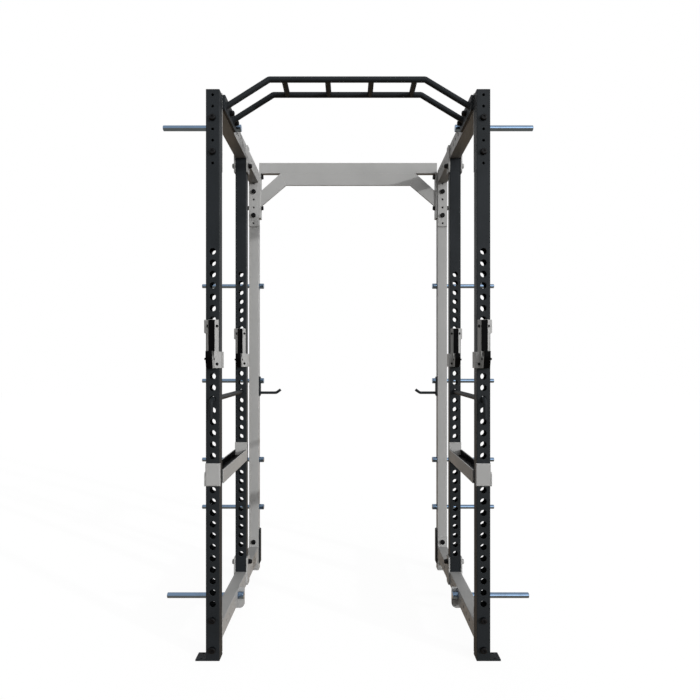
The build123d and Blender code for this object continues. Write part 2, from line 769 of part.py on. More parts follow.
def jhook_steel():
    """The welded steel of a left-hand J-hook: flared back, tabs, cheeks and pin."""
    half = jhook_sheet / 2
    foot_end, web_end = flare_line()
    run = (web_end - foot_end).normalized()
    inward = Vector(-run.Y, run.X) * half
    start = foot_end - run * jhook_sheet + inward
    web_y = jhook_web_front - half
    lean = (web_y - start.Y) * run.X / run.Y
    knee = (start.X + lean, web_y)
    path = [(-start.X, -start.Y), (-knee[0], -web_y), (knee[0], -web_y), (start.X, -start.Y)]
    hat = Pos(0, 0, -jhook_bottom) * extrude(ribbon(path, jhook_sheet), jhook_top + jhook_bottom)
    steel = hat & block(-post_size, post_size, -jhook_reach, -face_gap, -jhook_bottom, jhook_top)
    top_tab = jhook_tab(-1, jhook_top - jhook_top_tab, jhook_top)
    steel += chamfer_tab(top_tab)
    steel += jhook_tab(1, -jhook_bottom, -jhook_bottom + jhook_bottom_tab)
    outline = [
        (-web_y, -jhook_bottom),
        (-jhook_cheek_front + jhook_toe_setback, -jhook_bottom),
        (-jhook_cheek_front, -jhook_bottom + jhook_toe_height),
        (-jhook_cheek_front, -jhook_lip),
        (-jhook_web_front - jhook_pad, -jhook_lip),
        (-web_y, -jhook_cheek_top),
    ]
    slot = seat_slot(jhook_slot / 2 + jhook_cheek_relief, jhook_slot)
    for side in (-1, 1):
        edges = sorted((side * jhook_web_half, side * (jhook_web_half - jhook_sheet)))
        steel += side_plate(outline, *edges) - slot
    steel += rod_y(jhook_pin_d / 2, -web_y, post_size + jhook_pin_tail, 0, 0)
    cross = (-jhook_cross_screw_forward, -jhook_cross_screw_drop)
    steel -= rod_x(jhook_cross_screw_d / 2 + screw_clearance, -jhook_slot, jhook_slot, *cross)
    for level in jhook_screw_levels:
        for side in (-1, 1):
            seat = extrude(Circle(jhook_screw_head_d / 2 + screw_clearance), 2 * jhook_screw_head)
            hole = extrude(Circle(jhook_screw_d / 2 + screw_clearance), -2 * jhook_screw_length)
            steel -= flare_frame(side, level) * (seat + hole)
    return steel


def chamfer_tab(tab):
    """Cuts the lower outer corner off the top tab of a J-hook."""
    corner_x = -(post_size / 2 + jhook_tab_gap + jhook_sheet)
    corner_z = jhook_top - jhook_top_tab
    cutter = Rot(0, 45, 0) * Box(jhook_tab_chamfer, 8 * jhook_tab_depth, jhook_tab_chamfer)
    return tab - Pos(corner_x, 0, corner_z) * cutter


def jhook_liner():
    """The plastic of a J-hook: pad, seat and lip in one piece."""
    inside = jhook_web_half - jhook_sheet - jhook_liner_gap
    front = jhook_cheek_front + jhook_liner_gap
    toe_top = -jhook_bottom + jhook_toe_height
    floor = -jhook_liner_floor
    slant = jhook_toe_setback / jhook_toe_height
    seat_outline = [
        (-jhook_web_front, floor),
        (-front + slant * (toe_top - floor), floor),
        (-front, toe_top),
        (-front, -jhook_lip),
        (-jhook_web_front, -jhook_lip),
    ]
    liner = side_plate(seat_outline, -inside, inside) - seat_slot(jhook_slot / 2, jhook_slot)
    pad_y = -jhook_web_front - jhook_pad
    pad_top = jhook_top - jhook_pad_margin
    liner += block(-inside, inside, pad_y, -jhook_web_front, -jhook_seat, pad_top)
    pad_low = -jhook_cheek_top + jhook_liner_gap
    liner += block(-jhook_pad_half, jhook_pad_half, pad_y, -jhook_web_front, pad_low, pad_top)
    lip_outline = [
        (-front + jhook_toe_setback, -jhook_bottom),
        (-jhook_reach + jhook_toe_setback, -jhook_bottom),
        (-jhook_reach, toe_top),
        (-jhook_reach, -jhook_lip),
        (-front, -jhook_lip),
        (-front, toe_top),
    ]
    lip = side_plate(lip_outline, -jhook_lip_half, jhook_lip_half)
    lip = chamfer(lip.faces().filter_by(Plane.XZ).sort_by(Axis.Y)[0].edges(), jhook_lip_round)
    cross = (-jhook_cross_screw_forward, -jhook_cross_screw_drop)
    return liner + lip - rod_x(jhook_cross_screw_d / 2 + screw_clearance, -jhook_slot, jhook_slot, *cross)


def at_hole(part, y, step, pin_d):
    """Moves a piece built round its pin to a hole of a left-hand post whose front face is at y."""
    return Pos(-post_x, y, pin_hole_level(step) - resting_drop(pin_d)) * part


def arm_length():
    """From the front face of a front post to the end of a safety arm's channel."""
    return middle_setback - arm_end_gap


def arm_steel():
    """The welded steel of a left-hand safety arm: channel, end plates and pins."""
    wall_in = post_size / 2 + side_gap
    wall_out = wall_in + arm_sheet
    start = post_size + arm_end_gap
    end = arm_length()
    front = -face_gap - arm_plate
    steel = block(-wall_out, wall_out, start, end, -arm_floor, -arm_floor + arm_sheet)
    steel += block(wall_in, wall_out, start, end, -arm_floor, -arm_rim)
    outer_wall = block(-wall_out, -wall_in, front, end, -arm_floor, -arm_rim)
    corner = outer_wall.edges().filter_by(Axis.X).group_by(Axis.Y)[0]
    steel += chamfer(corner.sort_by(Axis.Z)[-1], arm_wall_chamfer)
    front_plate = block(-wall_in, wall_out, front, -face_gap, -arm_floor, arm_plate_top)
    rims = front_plate.faces().sort_by(Axis.Y)[0].edges()
    steel += fillet(rims, arm_plate_round)
    steel += block(-wall_in, wall_out, end - arm_plate, end, -arm_floor, arm_plate_top)
    steel += rod_y(arm_pin_d / 2, -face_gap, post_size + arm_pin_tail, 0, 0)
    return steel + rod_y(arm_pin_d / 2, end, middle_setback + post_size + arm_pin_tail, 0, 0)


def arm_liner():
    """The plastic lining of a safety arm's channel."""
    half = post_size / 2 + side_gap - arm_liner_gap
    start = post_size + arm_end_gap
    end = arm_length() - arm_plate - arm_liner_gap
    low = -arm_floor + arm_sheet
    lining = block(-half, half, start, end, low, -arm_rim)
    hollow = half - arm_liner_wall
    return lining - block(-hollow, hollow, start - cut_margin, end + cut_margin, low + arm_liner_floor, 0)


def safety_rod():
    """A left-hand rod through the front and middle posts with a handle bent down at the front."""
    far = middle_setback + post_size + rod_tail
    shaft = rod_y(rod_d / 2, -rod_nose, far, 0, 0)
    shaft = chamfer(shaft.edges().filter_by(GeomType.CIRCLE), rod_chamfer)
    corners = [(0, 0, 0), (0, -rod_handle_forward, 0), (0, -rod_handle_forward, -rod_handle_drop)]
    path = FilletPolyline(*corners, radius=rod_handle_bend)
    section = Plane(origin=path @ 0, z_dir=path % 0) * Circle(rod_handle_d / 2)
    return shaft + sweep(section, path=path)


def place_bolts():
    """Every frame bolt with its nut and washers, gathered by kind."""
    bolts = {"beam_bolts": [], "gusset_bolts": [], "crossmember_bolts": [], "pullup_bolts": []}
    nuts = []
    washers = []

    def add(name, grip, place, low_head=False):
        bolt, nut, rings = bolt_set(grip, low_head)
        bolts[name] += both_sides([place * bolt])
        nuts.extend(both_sides([place * nut]))
        washers.extend(both_sides([place * ring for ring in rings]))

    along_y = Rot(-90, 0, 0)
    inwards = Rot(0, 90, 0)
    outwards = Rot(0, -90, 0)
    for y in (front_y, beam_end - flange_thickness):
        for z in top_bolt_levels + bottom_bolt_levels:
            add("beam_bolts", post_size + flange_thickness, Pos(-post_x, y, z) * along_y, low_head=True)
    gusset_face = -outer_x - gusset_thickness
    for z in (bottom_gusset_bolt_z, top_gusset_bolt_z):
        grip = post_size + 2 * gusset_thickness
        add("gusset_bolts", grip, Pos(gusset_face, middle_mid_y, z) * inwards, low_head=True)
    cross_face = -inner_x + cross_flange_thickness
    for z in cross_bolt_levels:
        grip = post_size + cross_flange_thickness
        add("crossmember_bolts", grip, Pos(cross_face, cross_bolt_y, z) * outwards)
    for y in bar_bolt_ys:
        grip = post_size + bar_flange_thickness
        add("pullup_bolts", grip, Pos(-outer_x, y, bar_flange_z) * inwards, low_head=True)
    return {**bolts, "frame_nuts": nuts, "frame_washers": washers}


def pair_of(name, part):
    """A left-hand piece and its right-hand twin as two nodes."""
    return {f"{name}_left": [part], f"{name}_right": [mirrored(part)]}


def build_frame():
    """Everything that is bolted or welded together and doesn't move."""
    nodes = {}
    nodes |= pair_of("front_upright", front_post())
    nodes |= pair_of("middle_upright", middle_post())
    nodes |= pair_of("rear_upright", rear_post())
    nodes["front_feet"] = both_sides([foot(front_y)])
    nodes["rear_feet"] = both_sides([foot(rear_post_y + post_size - foot_depth)])
    rear_cap = drill_bolts_x(post_cap(rear_post_y), cross_bolt_y, cross_bolt_levels)
    nodes["upright_caps"] = both_sides([post_cap(front_y), rear_cap])
    nodes |= pair_of("top_beam", top_beam())
    nodes |= pair_of("bottom_beam", bottom_beam())
    flange_low = cage_height - top_flange_drop
    nodes["top_beam_flanges"] = end_flanges(flange_low, top_beam_top, top_bolt_levels, plain_hole_levels[1:])
    half = bottom_flange_height / 2
    low_span = (bottom_beam_z - half, bottom_beam_z + half)
    nodes["bottom_beam_flanges"] = end_flanges(*low_span, bottom_bolt_levels, [])
    top_span = (top_beam_under - gusset_reach, top_beam_top - gusset_inset)
    nodes["top_gussets"] = gussets(*top_span, top_gusset_bolt_z)
    bottom_span = (bottom_beam_under + gusset_inset, bottom_beam_top + gusset_reach)
    nodes["bottom_gussets"] = gussets(*bottom_span, bottom_gusset_bolt_z)
    nodes["crossmember_beam"] = [crossmember_beam()]
    nodes["sign_panel"] = [sign_panel()]
    nodes |= pair_of("crossmember_strut", crossmember_strut())
    nodes |= pair_of("crossmember_flange", crossmember_flange())
    nodes["pullup_front_bar"] = [pullup_bar(front_bar_y)]
    nodes["pullup_rear_bar"] = [pullup_bar(rear_bar_y)]
    nodes["pullup_grips"] = pullup_grips()
    nodes |= pair_of("pullup_flange", pullup_flange())
    nodes["storage_pegs_left"] = storage_pegs()
    nodes["storage_pegs_right"] = [mirrored(part) for part in storage_pegs()]
    nodes["beam_pegs"] = beam_pegs()
    nodes["peg_brackets"] = both_sides([peg_bracket()])
    nodes |= pair_of("accessory_hook", accessory_hook())
    nodes["guard_plates"] = both_sides([guard_plate()])
    return nodes | place_bolts()


def build_attachments():
    """The J-hooks, safety arms and safety rods, which are lifted, swung or pulled out in use."""
    nodes = {}
    steel, liner, screws = jhook_steel(), jhook_liner(), jhook_screws()
    for place, y in (("front", front_y), ("middle", middle_post_y)):
        hook = [at_hole(part, y, jhook_hole, jhook_pin_d) for part in (steel, liner, *screws)]
        for side, parts in (("left", hook), ("right", [mirrored(part) for part in hook])):
            name = f"{place}_jhook_{side}"
            nodes[name] = [parts[0]]
            nodes[f"{name}_liner"] = [parts[1]]
            nodes[f"{name}_screws"] = parts[2:]
    nodes |= pair_of("safety_arm", at_hole(arm_steel(), front_y, arm_hole, arm_pin_d))
    nodes |= pair_of("safety_arm_liner", at_hole(arm_liner(), front_y, arm_hole, arm_pin_d))
    nodes |= pair_of("safety_rod", at_hole(safety_rod(), front_y, rod_hole, rod_d))
    return nodes


def main():
    """Builds every piece and writes one file for each named node."""
    os.makedirs("parts", exist_ok=True)
    nodes = build_frame() | build_attachments()
    for name, parts in nodes.items():
        solids = [solid for part in parts for solid in part.solids()]
        shape = solids[0] if len(solids) == 1 else Compound(solids)
        export_step(shape, f"parts/{name}.step")
    print(len(nodes), "nodes")


if __name__ == "__main__":
    main()
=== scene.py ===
"""The power cage, finished piece by piece and set in a plain white studio.

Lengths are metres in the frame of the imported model: +Z is up, +X is to the right, and the camera
looks along +Y from in front of the cage.
"""

import json
import logging
import math
from dataclasses import dataclass, replace
from enum import Enum
from typing import Union

import bpy
from mathutils import Color, Matrix, Vector


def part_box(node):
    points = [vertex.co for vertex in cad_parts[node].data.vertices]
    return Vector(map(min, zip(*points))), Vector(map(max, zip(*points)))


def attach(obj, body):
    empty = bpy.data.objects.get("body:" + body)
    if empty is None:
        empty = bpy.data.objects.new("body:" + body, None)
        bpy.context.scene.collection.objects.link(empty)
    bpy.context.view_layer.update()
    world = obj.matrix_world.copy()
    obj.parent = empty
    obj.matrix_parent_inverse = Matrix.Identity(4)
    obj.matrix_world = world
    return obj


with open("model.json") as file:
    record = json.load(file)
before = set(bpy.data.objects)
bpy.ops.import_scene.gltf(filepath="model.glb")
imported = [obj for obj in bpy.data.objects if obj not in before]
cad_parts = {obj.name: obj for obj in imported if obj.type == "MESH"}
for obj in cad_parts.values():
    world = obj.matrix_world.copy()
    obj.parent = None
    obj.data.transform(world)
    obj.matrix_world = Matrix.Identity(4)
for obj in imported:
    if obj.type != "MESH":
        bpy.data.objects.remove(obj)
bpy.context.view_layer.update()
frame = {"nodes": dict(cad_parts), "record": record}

log = logging.getLogger("power_cage")

Colour = tuple[float, float, float, float]
Number = Union["Value", float]
Setting = Union["Value", float, Colour]

FULL_BYTE = 255
AVERAGE_NOISE = 0.5


def paint(red: int, green: int, blue: int) -> Colour:
    """Turns a colour as it is picked on a screen into linear light.

    Args:
        red: The red of the colour, as a byte.
        green: The green of it.
        blue: The blue of it.

    Returns:
        The colour, opaque.
    """
    picked = Color([byte / FULL_BYTE for byte in (red, green, blue)])
    return *picked.from_srgb_to_scene_linear(), 1.0


class Slot(Enum):
    """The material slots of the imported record."""

    BLACK_COAT = "black_coat"
    GREY_COAT = "grey_coat"
    PANEL_COAT = "panel_coat"
    CHROME = "chrome"
    BLACK_PLASTIC = "black_plastic"
    BLACK_FASTENERS = "black_fasteners"


class Sum(Enum):
    """The sums that a Math node does for a Value."""

    ADD = "ADD"
    SUBTRACT = "SUBTRACT"
    MULTIPLY = "MULTIPLY"
    MAXIMUM = "MAXIMUM"


class MixSocket(Enum):
    """Where a Mix node keeps its sockets when it mixes colours."""

    FACTOR = 0
    FIRST = 6
    SECOND = 7
    RESULT = 2


class Ray(Enum):
    """The kinds of ray that a Light Path node tells apart."""

    CAMERA = "Is Camera Ray"
    GLOSSY = "Is Glossy Ray"
    TRANSMISSION = "Is Transmission Ray"


class Value:
    """What a socket gives. Python's operators work on those that give a number."""

    def __init__(self, shader: "Shader", socket: bpy.types.NodeSocket) -> None:
        """Wraps one output socket of a shader."""
        self.shader = shader
        self.socket = socket

    def _do(self, kind: Sum, first: Number, second: Number) -> "Value":
        """Adds a Math node.

        Args:
            kind: The sum that the node does.
            first: The number on its upper socket.
            second: The number on its lower socket.

        Returns:
            The result of the sum.
        """
        node = self.shader.node("ShaderNodeMath", {"operation": kind.value}, {0: first, 1: second})
        return Value(self.shader, node.outputs[0])

    def __add__(self, other: Number) -> "Value":
        """This value plus another."""
        return self._do(Sum.ADD, self, other)

    def __radd__(self, other: float) -> "Value":
        """A number plus this value."""
        return self._do(Sum.ADD, other, self)

    def __sub__(self, other: Number) -> "Value":
        """This value less another."""
        return self._do(Sum.SUBTRACT, self, other)

    def __rsub__(self, other: float) -> "Value":
        """A number less this value."""
        return self._do(Sum.SUBTRACT, other, self)

    def __mul__(self, other: Number) -> "Value":
        """This value times another."""
        return self._do(Sum.MULTIPLY, self, other)

    def __rmul__(self, other: float) -> "Value":
        """A number times this value."""
        return self._do(Sum.MULTIPLY, other, self)

    def __or__(self, other: Number) -> "Value":
        """The larger of this value and another."""
        return self._do(Sum.MAXIMUM, self, other)

    def rise(self, low: float, high: float) -> "Value":
        """A smooth step from 0 at the low value to 1 at the high one."""
        sockets = {"Value": self, "From Min": low, "From Max": high}
        node = self.shader.node("ShaderNodeMapRange", {"interpolation_type": "SMOOTHSTEP"}, sockets)
        return Value(self.shader, node.outputs[0])


class Shader:
    """A node tree that is written as expressions."""

    bevel_samples = 6
    edge_start = 0.01  # 1 less the cosine of the turn that rounding gives the normal
    edge_full = 0.16

    def __init__(self, tree: bpy.types.NodeTree) -> None:
        """Empties a tree and takes it over."""
        self.tree = tree
        self.tree.nodes.clear()

    def node(
        self, kind: str, settings: dict[str, object], sockets: dict[object, Setting]
    ) -> bpy.types.Node:
        """Adds any node.

        Args:
            kind: The node's type.
            settings: Its own settings, which are set first.
            sockets: The numbers, colours or values of its input sockets, by name or place.

        Returns:
            The new node.
        """
        node = self.tree.nodes.new(kind)
        for name, setting in settings.items():
            setattr(node, name, setting)
        for name, given in sockets.items():
            if isinstance(given, Value):
                self.tree.links.new(given.socket, node.inputs[name])
            else:
                node.inputs[name].default_value = given
        return node

    def out(self, node: bpy.types.Node, name: Union[str, int]) -> Value:
        """One of a node's outputs, ready for sums."""
        return Value(self, node.outputs[name])

    def place(self) -> Value:
        """The point on the piece, in the frame's metres."""
        return self.out(self.node("ShaderNodeTexCoord", {}, {}), "Object")

    def noise(self, size: float, detail: float = 2.0) -> Value:
        """Clouds about as large as a size in metres, from 0 to 1.

        Args:
            size: The width of one cloud.
            detail: How many finer layers lie on it.

        Returns:
            The noise, about 0.5 on average.
        """
        sockets = {"Vector": self.place(), "Scale": 1 / size, "Detail": detail}
        return self.out(self.node("ShaderNodeTexNoise", {}, sockets), 0)

    def mix(self, share: Number, first: Setting, second: Setting) -> Value:
        """Mixes two colours.

        Args:
            share: How much of the second colour shows.
            first: The first colour.
            second: The second colour.

        Returns:
            The mixed colour.
        """
        sockets = {
            MixSocket.FACTOR.value: share,
            MixSocket.FIRST.value: first,
            MixSocket.SECOND.value: second,
        }
        node = self.node("ShaderNodeMix", {"data_type": "RGBA"}, sockets)
        return self.out(node, MixSocket.RESULT.value)

    def rounded(self, radius: float) -> tuple[Value, Value]:
        """The surface's normal with its edges rounded.

        Args:
            radius: The radius of the rounding in metres.

        Returns:
            The rounded normal, and how near an edge is, from 0 to 1.
        """
        bevel = self.node("ShaderNodeBevel", {"samples": self.bevel_samples}, {"Radius": radius})
        flat = self.node("ShaderNodeNewGeometry", {}, {})
        pair = {0: self.out(bevel, 0), 1: self.out(flat, "Normal")}
        match = self.node("ShaderNodeVectorMath", {"operation": "DOT_PRODUCT"}, pair)
        edge = (1 - self.out(match, "Value")).rise(self.edge_start, self.edge_full)
        return self.out(bevel, 0), edge

    def bump(self, height: Value, depth: float, normal: Value) -> Value:
        """A normal that follows a height.

        Args:
            height: The height, from 0 to 1.
            depth: How deep 1 is, in metres.
            normal: The normal that the bumps stand on.

        Returns:
            The bumped normal.
        """
        sockets = {"Height": height, "Distance": depth, "Strength": 1.0, "Normal": normal}
        return self.out(self.node("ShaderNodeBump", {}, sockets), 0)

    def ray(self, kind: Ray) -> Value:
        """1 where a ray of this kind arrives, and 0 for any other."""
        return self.out(self.node("ShaderNodeLightPath", {}, {}), kind.value)

    def glow(self, sockets: dict[object, Setting]) -> Value:
        """A surface that shines by itself."""
        return self.out(self.node("ShaderNodeEmission", {}, sockets), 0)

    def matt(self, colour: Colour) -> Value:
        """A dull surface that lamps light."""
        return self.out(self.node("ShaderNodeBsdfDiffuse", {}, {"Color": colour}), 0)

    def blend(self, share: Number, first: Value, second: Value) -> Value:
        """Mixes two surfaces.

        Args:
            share: How much of the second surface shows.
            first: The first surface.
            second: The second surface.

        Returns:
            The mixed surface.
        """
        return self.out(self.node("ShaderNodeMixShader", {}, {0: share, 1: first, 2: second}), 0)

    def principled(self, sockets: dict[object, Setting]) -> None:
        """Ends a material in one principled surface."""
        self.end(self.out(self.node("ShaderNodeBsdfPrincipled", {}, sockets), 0))

    def end(self, surface: Value) -> None:
        """Ends a material in a surface."""
        self.node("ShaderNodeOutputMaterial", {}, {"Surface": surface})


def new_material(name: str) -> tuple[bpy.types.Material, Shader]:
    """Starts a material with an empty node tree.

    Args:
        name: The material's name.

    Returns:
        The material and its shader.
    """
    material = bpy.data.materials.new(name)
    material.use_nodes = True
    return material, Shader(material.node_tree)


@dataclass(frozen=True)
class Blotches:
    """Patches of a finish, cut out of noise."""

    size: float  # the width of one patch, in metres
    detail: float  # how many finer layers lie on it
    low: float  # the noise up to which there is none
    high: float  # the noise from which it is full

    def on(self, shader: Shader) -> Value:
        """How much of a patch lies at each point, from 0 to 1."""
        return shader.noise(self.size, self.detail).rise(self.low, self.high)


@dataclass(frozen=True)
class PowderCoat:
    """Baked powder paint: a fine pebbled skin, paler along the edges, partly from wear where it thins and
    partly as a painted highlight.
    """

    name: str
    colour: Colour
    shade: Colour  # where the coat lies a little thinner
    # the paler colour along the edges: partly wear, partly a painted highlight
    edge: Colour
    edge_share: float
    gloss: float  # the specular level
    roughness: float
    grain: float = 0.0014
    grain_depth: float = 0.00004
    grain_roughness: float = 0.12
    shaded: Blotches = Blotches(size=0.16, detail=4.0, low=0.3, high=0.7)
    shaded_roughness: float = 0.08
    rubbed: Blotches = Blotches(size=0.02, detail=3.0, low=0.3, high=0.6)
    edge_radius: float = 0.0022
    edge_polish: float = 0.08

    def material(self) -> bpy.types.Material:
        """The painted material."""
        material, shader = new_material(self.name)
        normal, edge = shader.rounded(self.edge_radius)
        grain = shader.noise(self.grain)
        shaded = self.shaded.on(shader)
        rubbed = self.rubbed.on(shader)
        colour = shader.mix(shaded, self.colour, self.shade)
        roughness = self.roughness + self.grain_roughness * (grain - AVERAGE_NOISE)
        roughness = roughness + self.shaded_roughness * (shaded - AVERAGE_NOISE)
        shader.principled({
            # paler edges in the rubbed patches: wear, and a painted highlight along the edges
            "Base Color": shader.mix(edge * rubbed * self.edge_share, colour, self.edge),
            "Roughness": roughness - self.edge_polish * edge,
            "Specular IOR Level": self.gloss,
            "Normal": shader.bump(grain, self.grain_depth, normal),
        })
        return material


@dataclass(frozen=True)
class ChromePlate:
    """Bright plating with faint polishing streaks and a little handling haze."""

    name: str
    colour: Colour
    haze: Colour
    roughness: float
    streak: float = 0.002
    streak_depth: float = 0.000004
    streak_roughness: float = 0.04
    hazed: Blotches = Blotches(size=0.05, detail=4.0, low=0.35, high=0.75)
    haze_share: float = 0.5
    haze_roughness: float = 0.08
    edge_radius: float = 0.0006
    edge_roughness: float = 0.05

    def material(self) -> bpy.types.Material:
        """The plated material."""
        material, shader = new_material(self.name)
        normal, edge = shader.rounded(self.edge_radius)
        streak = shader.noise(self.streak)
        hazed = self.hazed.on(shader)
        roughness = self.roughness + self.haze_roughness * hazed
        roughness = roughness + self.streak_roughness * (streak - AVERAGE_NOISE)
        shader.principled({
            "Base Color": shader.mix(hazed * self.haze_share, self.colour, self.haze),
            "Metallic": 1.0,
            "Roughness": roughness + self.edge_roughness * edge,
            "Normal": shader.bump(streak, self.streak_depth, normal),
        })
        return material


@dataclass(frozen=True)
class MouldedPlastic:
    """Dense matt plastic with a spark-eroded grain and paler rubbed edges."""

    name: str
    colour: Colour
    worn: Colour
    roughness: float
    gloss: float  # the specular level
    grain: float = 0.0009
    grain_detail: float = 3.0
    grain_depth: float = 0.00005
    grain_roughness: float = 0.15
    rubbed: Blotches = Blotches(size=0.03, detail=4.0, low=0.35, high=0.75)
    rub_share: float = 0.3
    rub_polish: float = 0.1
    edge_radius: float = 0.0012
    edge_share: float = 0.5

    def material(self) -> bpy.types.Material:
        """The moulded material."""
        material, shader = new_material(self.name)
        normal, edge = shader.rounded(self.edge_radius)
        grain = shader.noise(self.grain, self.grain_detail)
        rubbed = self.rubbed.on(shader)
        worn = self.rub_share * rubbed + self.edge_share * edge
        roughness = self.roughness + self.grain_roughness * (grain - AVERAGE_NOISE)
        shader.principled({
            "Base Color": shader.mix(worn, self.colour, self.worn),
            "Roughness": roughness - self.rub_polish * rubbed,
            "Specular IOR Level": self.gloss,
            "Normal": shader.bump(grain, self.grain_depth, normal),
        })
        return material


@dataclass(frozen=True)
class BlackOxide:
    """Blackened steel of the bolts, worn to bare metal on the corners that a wrench turns."""

    name: str
    colour: Colour
    bare: Colour
    roughness: float
    gloss: float  # the specular level
    grain: float = 0.0006
    grain_detail: float = 3.0
    grain_depth: float = 0.00002
    grain_roughness: float = 0.15
    stained: Blotches = Blotches(size=0.008, detail=4.0, low=0.3, high=0.7)
    stain_roughness: float = 0.1
    edge_radius: float = 0.0007
    bare_share: float = 0.6
    bare_metal: float = 0.8

    def material(self) -> bpy.types.Material:
        """The blackened material."""
        material, shader = new_material(self.name)
        normal, edge = shader.rounded(self.edge_radius)
        grain = shader.noise(self.grain, self.grain_detail)
        stained = self.stained.on(shader)
        worn = edge * stained
        roughness = self.roughness + self.grain_roughness * (grain - AVERAGE_NOISE)
        shader.principled({
            "Base Color": shader.mix(self.bare_share * worn, self.colour, self.bare),
            "Metallic": self.bare_metal * worn,
            "Roughness": roughness + self.stain_roughness * stained,
            "Specular IOR Level": self.gloss,
            "Normal": shader.bump(grain, self.grain_depth, normal),
        })
        return material


Finish = Union[PowderCoat, ChromePlate, MouldedPlastic, BlackOxide]

BLACK_COAT = PowderCoat(
    name="black_powder_coat",
    colour=paint(30, 34, 38),
    shade=paint(27, 31, 34),
    # paler edge colour: partly wear, partly a painted highlight
    edge=paint(64, 69, 74),
    edge_share=0.4,
    gloss=0.14,
    roughness=0.6,
)
GREY_COAT = PowderCoat(
    name="grey_powder_coat",
    colour=paint(168, 168, 167),
    shade=paint(164, 164, 163),
    # pale edge colour: partly wear, partly a painted highlight of the rounded edges
    edge=paint(214, 213, 210),
    edge_share=0.7,
    gloss=0.2,
    roughness=0.5,
)
CHROME = ChromePlate(
    name="chrome_plate",
    # the bluish colour and haze are a painted reflection of a blue sky, not the plating's own colour
    colour=paint(109, 131, 156),
    haze=paint(100, 116, 135),
    roughness=0.14,
)
BLACK_PLASTIC = MouldedPlastic(
    name="black_plastic",
    colour=paint(4, 4, 5),
    worn=paint(9, 10, 13),
    roughness=0.5,
    gloss=0.03,
)
BLACK_FASTENERS = BlackOxide(
    name="black_oxide",
    colour=paint(7, 8, 11),
    bare=paint(34, 36, 42),
    roughness=0.42,
    gloss=0.12,
)
FINISHES: dict[Slot, Finish] = {
    Slot.BLACK_COAT: BLACK_COAT,
    Slot.GREY_COAT: GREY_COAT,
    Slot.PANEL_COAT: replace(GREY_COAT, name="grey_panel_coat"),
    Slot.CHROME: CHROME,
    Slot.BLACK_PLASTIC: BLACK_PLASTIC,
    Slot.BLACK_FASTENERS: BLACK_FASTENERS,
}


class Paintshop:
    """Makes each finish once and gives it to the pieces of its slot."""

    def __init__(self) -> None:
        """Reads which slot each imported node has."""
        self.made: dict[Slot, bpy.types.Material] = {}
        self.slots = {row["node"]: Slot(row["material_slot"]) for row in frame["record"]["subparts"]}

    def material(self, slot: Slot) -> bpy.types.Material:
        """The material of a slot, made when it is first asked for."""
        if slot not in self.made:
            self.made[slot] = FINISHES[slot].material()
        return self.made[slot]

    def coat(self, name: str) -> None:
        """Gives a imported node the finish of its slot."""
        mesh = frame["nodes"][name].data
        mesh.materials.clear()
        mesh.materials.append(self.material(self.slots[name]))
        log.info("%s: %s", name, self.slots[name].value)


class Side(Enum):
    """The two halves of the cage, each with the way that its outside faces along X."""

    LEFT = -1
    RIGHT = 1

    @property
    def label(self) -> str:
        """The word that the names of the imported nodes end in."""
        return self.name.lower()

    def of(self, node: str) -> tuple[Vector, Vector]:
        """The box of the node of this side."""
        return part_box(f"{node}_{self.label}")

    def inner_face(self, node: str) -> float:
        """Where the inner face of this side's node lies along X."""
        low, high = self.of(node)
        return high.x if self is Side.LEFT else low.x

    def outer_face(self, node: str) -> float:
        """Where the outer face of this side's node lies along X."""
        low, high = self.of(node)
        return low.x if self is Side.LEFT else high.x


